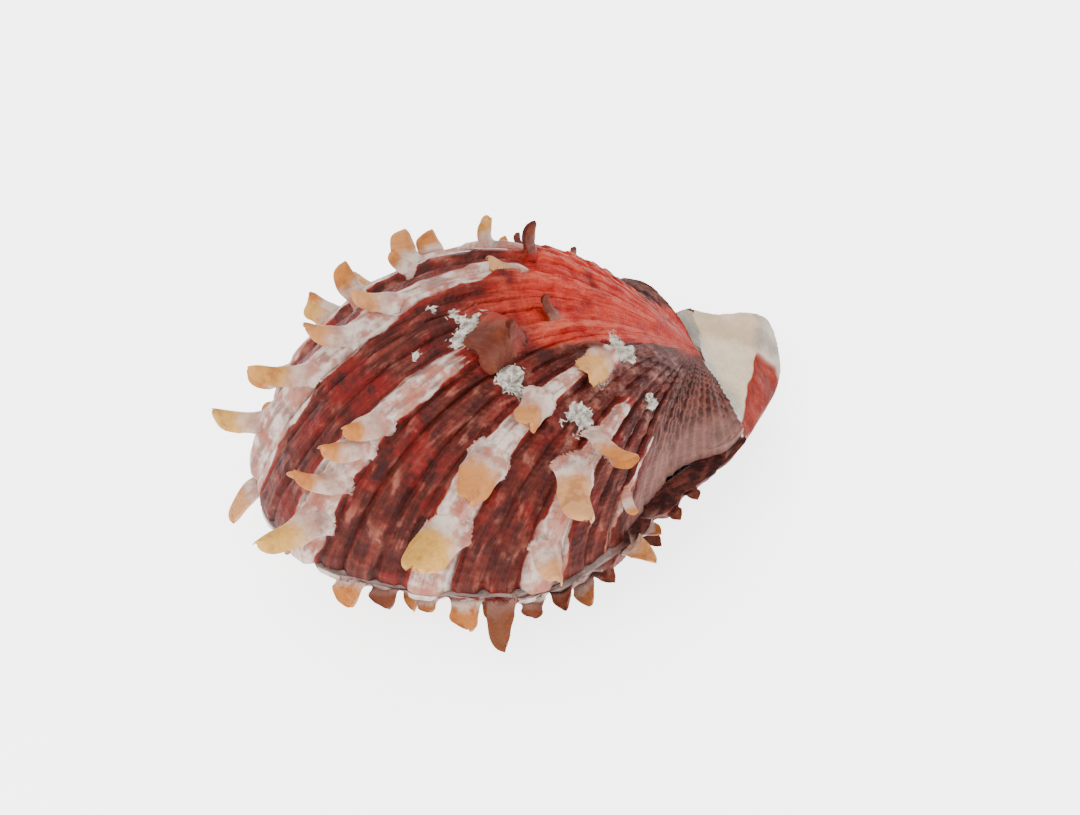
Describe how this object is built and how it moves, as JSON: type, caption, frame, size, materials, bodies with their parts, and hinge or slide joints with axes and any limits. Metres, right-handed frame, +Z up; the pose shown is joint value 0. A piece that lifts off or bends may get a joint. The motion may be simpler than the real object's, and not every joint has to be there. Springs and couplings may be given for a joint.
{
  "type": "spiny oyster shell",
  "caption": "Closed spiny oyster shell: a domed, ribbed upper valve on a deeper lower valve with a beak, both set with flat spines, resting on its flat attachment scar.",
  "frame": {"origin": "middle of the flat attachment scar under the lower valve, on the surface that the shell rests on", "axes": "+X from the ventral margin to the beak, +Y to the back of the shell, +Z up"},
  "size_m": [0.1228, 0.094, 0.0617],
  "materials": {
    "upper_shell": "natural shell, dark red to coral between white ribs, satin and chalky, spines tipped in ochre",
    "lower_shell": "natural shell, white to beige with grey-purple and orange-red parts, chalky"
  },
  "bodies": {
    "root": {"upper_valve": "upper_shell", "lower_valve": "lower_shell"}
  },
  "joints": []
}
